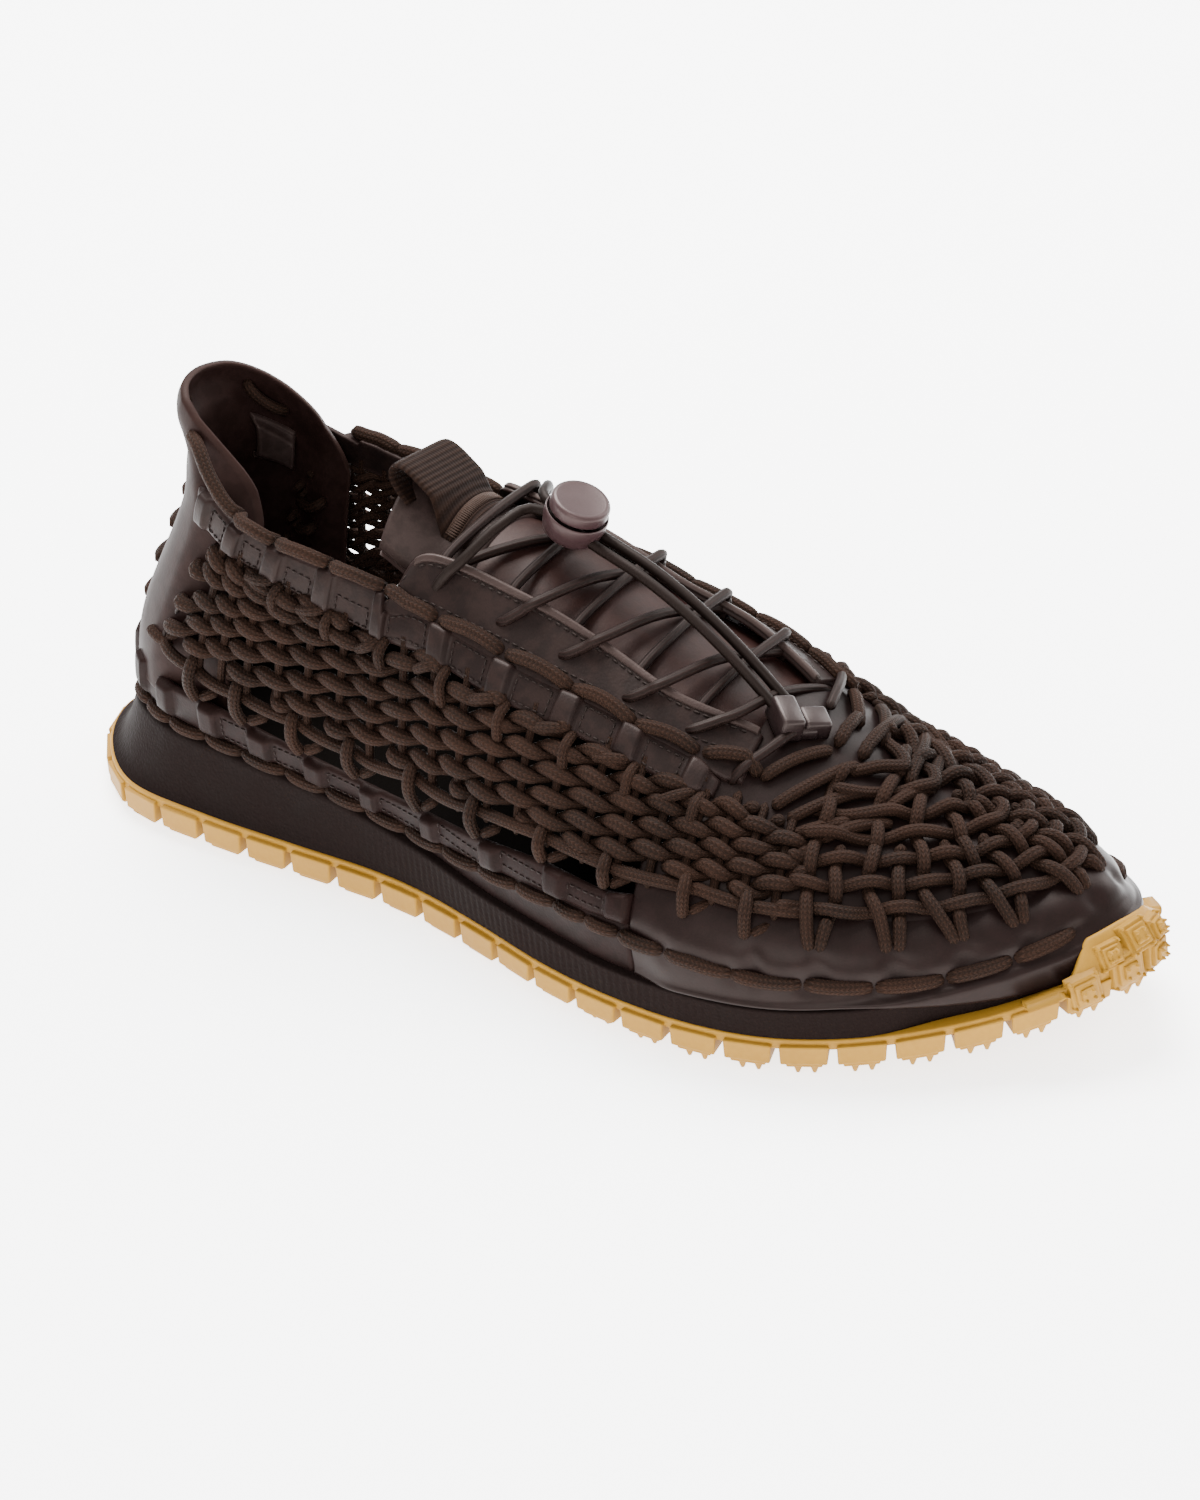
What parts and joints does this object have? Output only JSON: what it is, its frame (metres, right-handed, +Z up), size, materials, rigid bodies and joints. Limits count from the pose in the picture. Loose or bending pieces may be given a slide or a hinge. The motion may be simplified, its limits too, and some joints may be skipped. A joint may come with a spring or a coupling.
{
  "type": "woven sneaker",
  "caption": "Low shoe with an upper of woven braided cord, leather straps and rand, a lugged gum rubber sole with a toe bumper, and an elastic lace held by a push-button cord lock",
  "frame": {"origin": "on the floor, under the middle of the shoe's box without the loose lace ends", "axes": "+X from heel to toe, +Y to the inner side of the foot, +Z up"},
  "size_m": [0.297, 0.1066, 0.1195],
  "materials": {
    "gum_rubber": "satin",
    "foam": "matte",
    "cord": "matte",
    "leather": "satin",
    "tongue_leather": "satin",
    "webbing": "matte",
    "elastic": "satin",
    "plastic": "satin"
  },
  "bodies": {
    "shoe": {"outsole": "gum_rubber", "midsole": "foam", "insole": "webbing", "upper": "cord", "toe_rand": "leather", "foxing_strap": "leather", "heel_counter": "leather", "collar_strap_outer": "leather", "collar_strap_inner": "leather", "eyestay_outer": "leather", "eyestay_inner": "leather", "eyestay_strap_outer": "leather", "eyestay_strap_inner": "leather", "tongue": "tongue_leather", "tongue_pull_loop": "webbing", "lace_crossings": "elastic", "lace_lead_outer": "elastic", "lace_lead_inner": "elastic", "lace_tail_outer": "elastic", "lace_tail_inner": "elastic", "cord_lock_barrel": "plastic", "cord_hook": "plastic"},
    "button": {"cord_lock_button": "plastic"}
  },
  "joints": [
    {"name": "lock_button_press", "type": "slide", "parent": "shoe", "child": "button", "axis": [-0.3523, 0, -0.9359], "range_m": [0, 0.003], "stiffness_N_per_m": 300}
  ]
}
